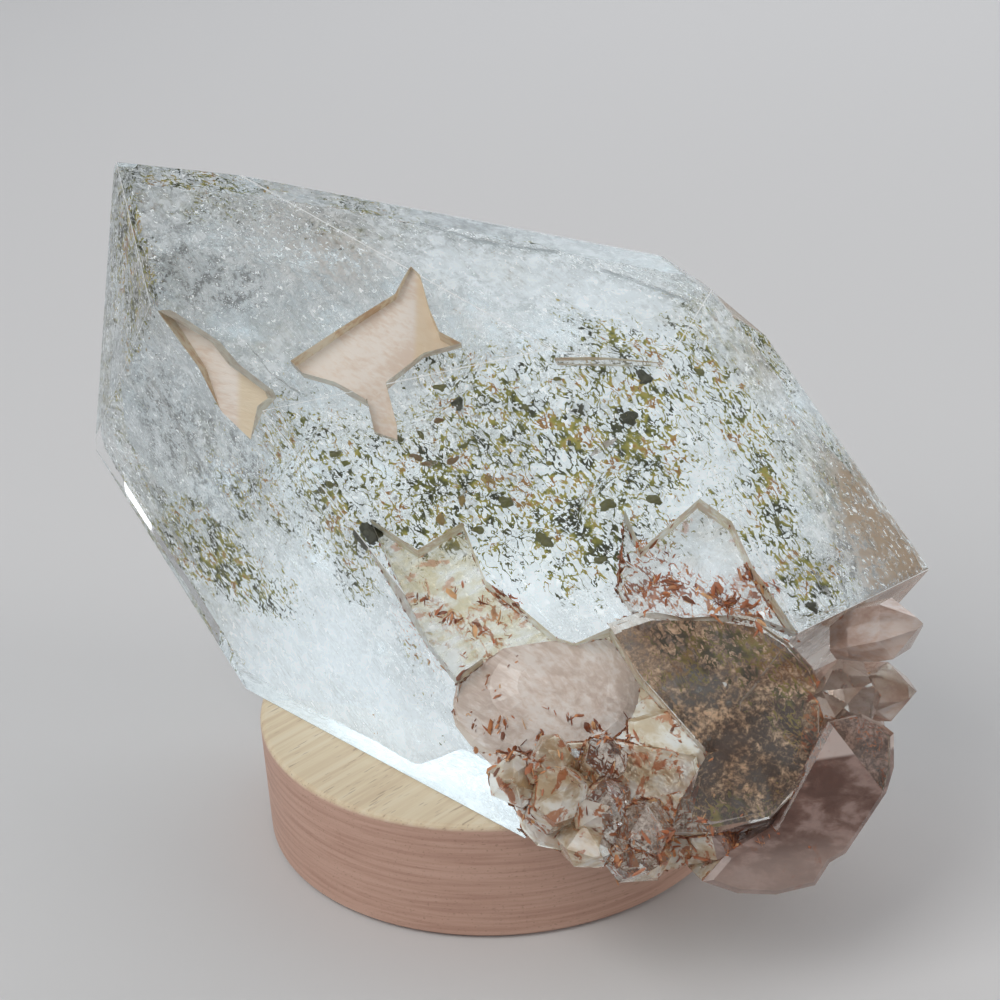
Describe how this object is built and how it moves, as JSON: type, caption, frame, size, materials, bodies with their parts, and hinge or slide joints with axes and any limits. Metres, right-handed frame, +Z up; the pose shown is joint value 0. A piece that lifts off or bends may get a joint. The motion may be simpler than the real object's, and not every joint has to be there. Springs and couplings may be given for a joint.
{
  "type": "landscape quartz on a lit wooden stand",
  "caption": "Clear faceted landscape quartz point with moss-like inclusions and a rough crystal-grown end, resting on a round wooden light stand.",
  "frame": {"origin": "middle of the stand's foot, on the surface it stands on", "axes": "+Z up; -Y towards the side with the stone's rough end; +X along the longest side, towards the rough end"},
  "size_m": [0.1369, 0.1231, 0.1046],
  "materials": {
    "beech_wood": "smooth unvarnished beech",
    "frosted_window": "frosted, lit from behind",
    "clear_quartz": "polished clear quartz with green, brown and red inclusions and a rough iron-stained end"
  },
  "bodies": {
    "root": {"stand": "beech_wood", "light_window": "frosted_window", "quartz": "clear_quartz"}
  },
  "joints": []
}
